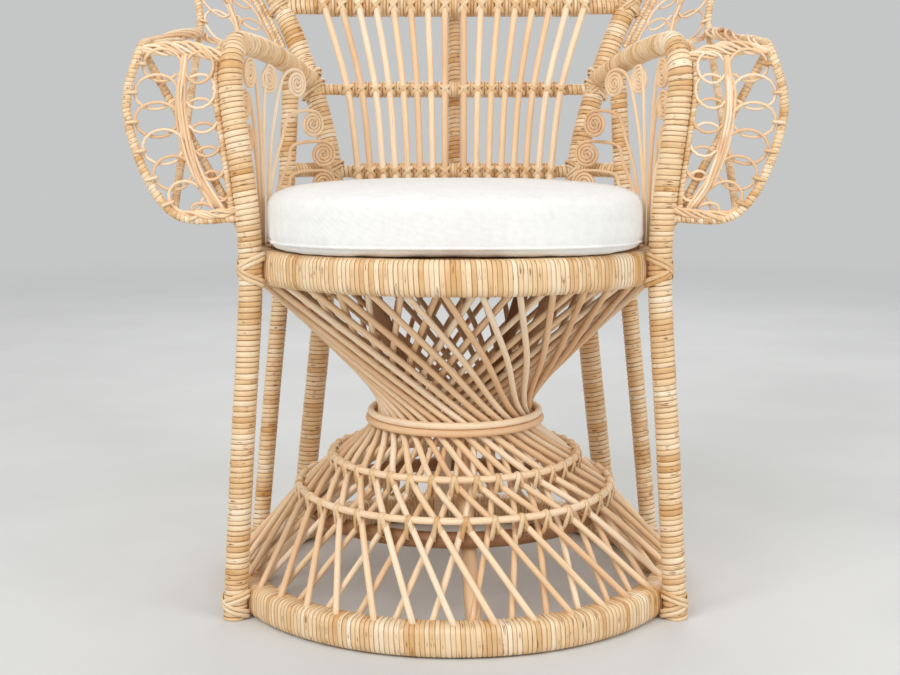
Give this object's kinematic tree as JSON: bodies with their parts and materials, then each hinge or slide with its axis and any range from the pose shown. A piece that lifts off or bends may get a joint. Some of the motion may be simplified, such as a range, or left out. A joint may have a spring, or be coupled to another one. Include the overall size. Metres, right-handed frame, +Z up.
{
  "type": "peacock chair",
  "caption": "Rattan peacock chair: hourglass base of crossing canes between wrapped rings, scrolled arms with looped wings, tall fan back on a leaning hoop and a loose seat pad.",
  "frame": {"origin": "on the floor, under the middle of the chair's bounding box", "axes": "+Z up; the sitter faces -Y; +X to the right as seen from the front"},
  "size_m": [1.0586, 0.7078, 1.4595],
  "materials": {
    "peeled_cane": "satin",
    "wrapped_cane": "satin",
    "brown_cane": "satin",
    "canvas": "matte"
  },
  "bodies": {
    "chair": {"seat_ring_weave": "wrapped_cane", "base_ring_weave": "wrapped_cane", "back_hoop": "wrapped_cane", "left_arm_pole": "wrapped_cane", "right_arm_pole": "wrapped_cane", "left_side_pole": "wrapped_cane", "right_side_pole": "wrapped_cane", "left_side_rail": "wrapped_cane", "right_side_rail": "wrapped_cane", "lower_back_rail": "wrapped_cane", "middle_back_rail": "wrapped_cane", "upper_back_rail": "wrapped_cane", "centre_post": "wrapped_cane", "fan_rim": "wrapped_cane", "left_wing_rim": "wrapped_cane", "right_wing_rim": "wrapped_cane", "left_wing_brace": "wrapped_cane", "right_wing_brace": "wrapped_cane", "left_wing_stay": "wrapped_cane", "right_wing_stay": "wrapped_cane", "upper_hoop": "peeled_cane", "lower_hoop": "peeled_cane", "inner_waist_hoop": "peeled_cane", "waist_ring": "peeled_cane", "fan_loops": "peeled_cane", "left_wing_loops": "peeled_cane", "right_wing_loops": "peeled_cane", "left_scroll_panel": "peeled_cane", "right_scroll_panel": "peeled_cane", "inner_strut_1": "peeled_cane", "inner_strut_2": "peeled_cane", "inner_strut_3": "peeled_cane", "inner_strut_4": "peeled_cane", "left_spindle_1": "peeled_cane", "left_spindle_2": "peeled_cane", "left_spindle_3": "peeled_cane", "left_spindle_4": "peeled_cane", "left_spindle_5": "peeled_cane", "left_spindle_6": "peeled_cane", "left_spindle_7": "peeled_cane", "left_spindle_8": "peeled_cane", "right_spindle_1": "peeled_cane", "right_spindle_2": "peeled_cane", "right_spindle_3": "peeled_cane", "right_spindle_4": "peeled_cane", "right_spindle_5": "peeled_cane", "right_spindle_6": "peeled_cane", "right_spindle_7": "peeled_cane", "right_spindle_8": "peeled_cane", "inner_pole_1": "brown_cane", "inner_pole_2": "brown_cane", "inner_pole_3": "brown_cane", "inner_pole_4": "brown_cane", "inner_ring": "brown_cane", "seat_deck": "brown_cane", "seat_bearer_1": "brown_cane", "seat_bearer_2": "brown_cane"},
    "cushion": {"cushion": "canvas"}
  },
  "joints": [
    {"name": "cushion_lift", "type": "slide", "parent": "chair", "child": "cushion", "axis": [0, 0, 1], "range_m": [0, 0.3]}
  ]
}
